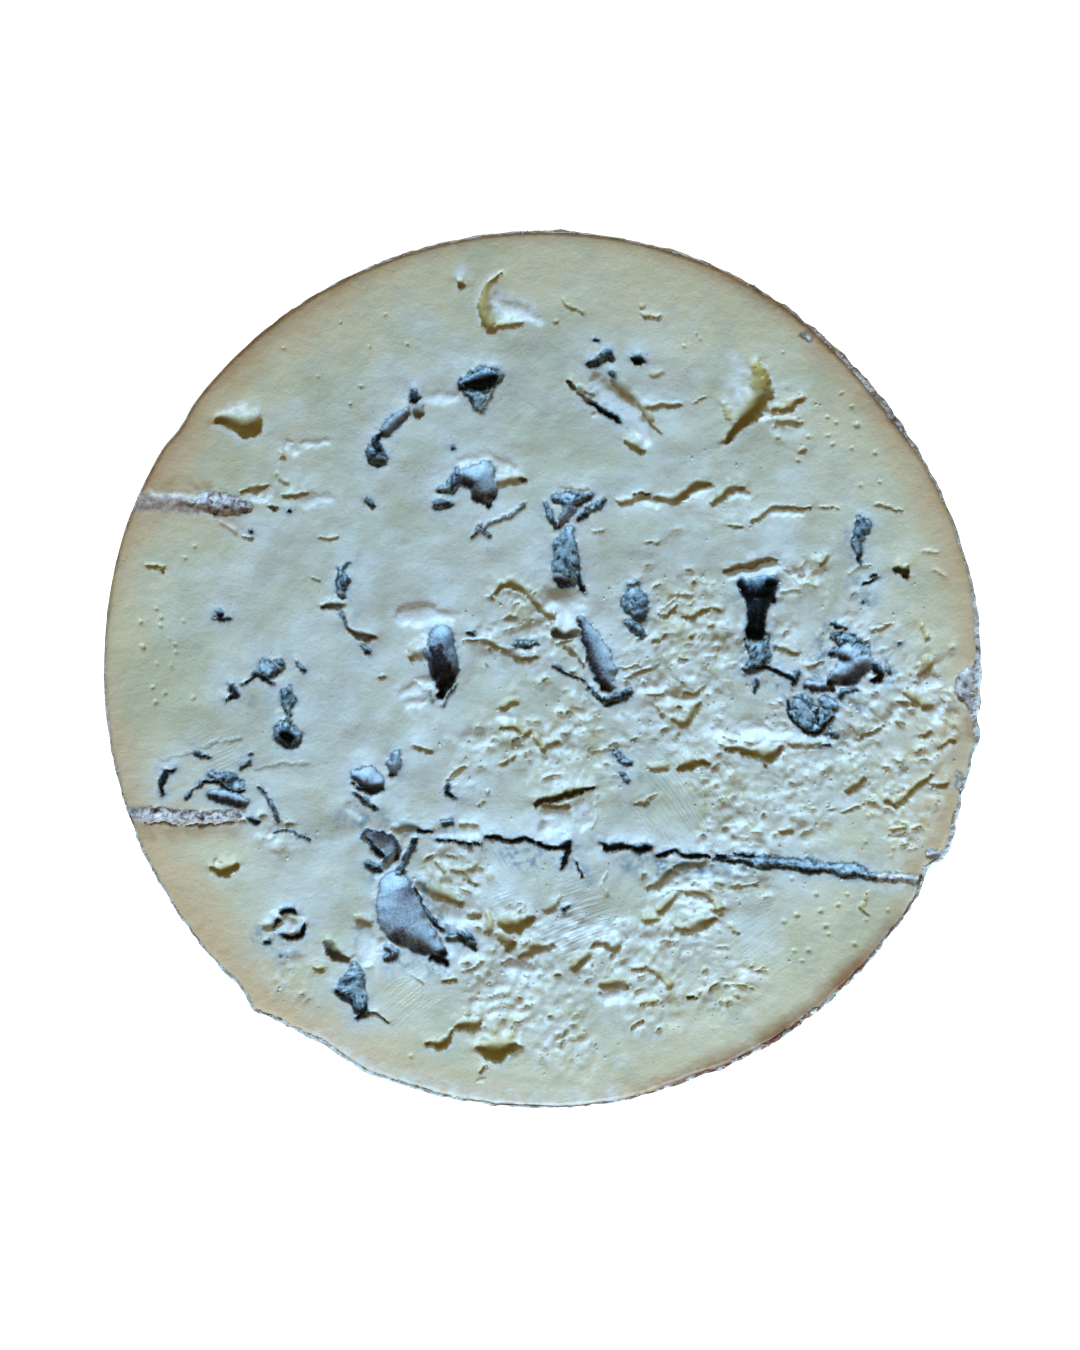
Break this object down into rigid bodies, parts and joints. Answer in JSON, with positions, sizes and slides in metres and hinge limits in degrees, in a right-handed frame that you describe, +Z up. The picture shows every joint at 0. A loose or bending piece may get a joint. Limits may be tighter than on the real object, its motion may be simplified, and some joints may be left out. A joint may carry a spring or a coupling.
{
  "type": "blue cheese half",
  "caption": "Half of a tall cylindrical blue cheese, cut straight across, standing on its rinded end with the veined and torn cut face up.",
  "frame": {"origin": "centre of the flat rinded end that it rests on", "axes": "+Z up, out of the cut face; +Y towards the top of the cut face as pictured; +X to its right"},
  "size_m": [0.1303, 0.1306, 0.0955],
  "materials": {
    "cheese": "moist ivory paste with blue-grey mould in its openings, inside a thin dry beige rind with grey bloom"
  },
  "bodies": {
    "root": {"fourme": "cheese"}
  },
  "joints": []
}
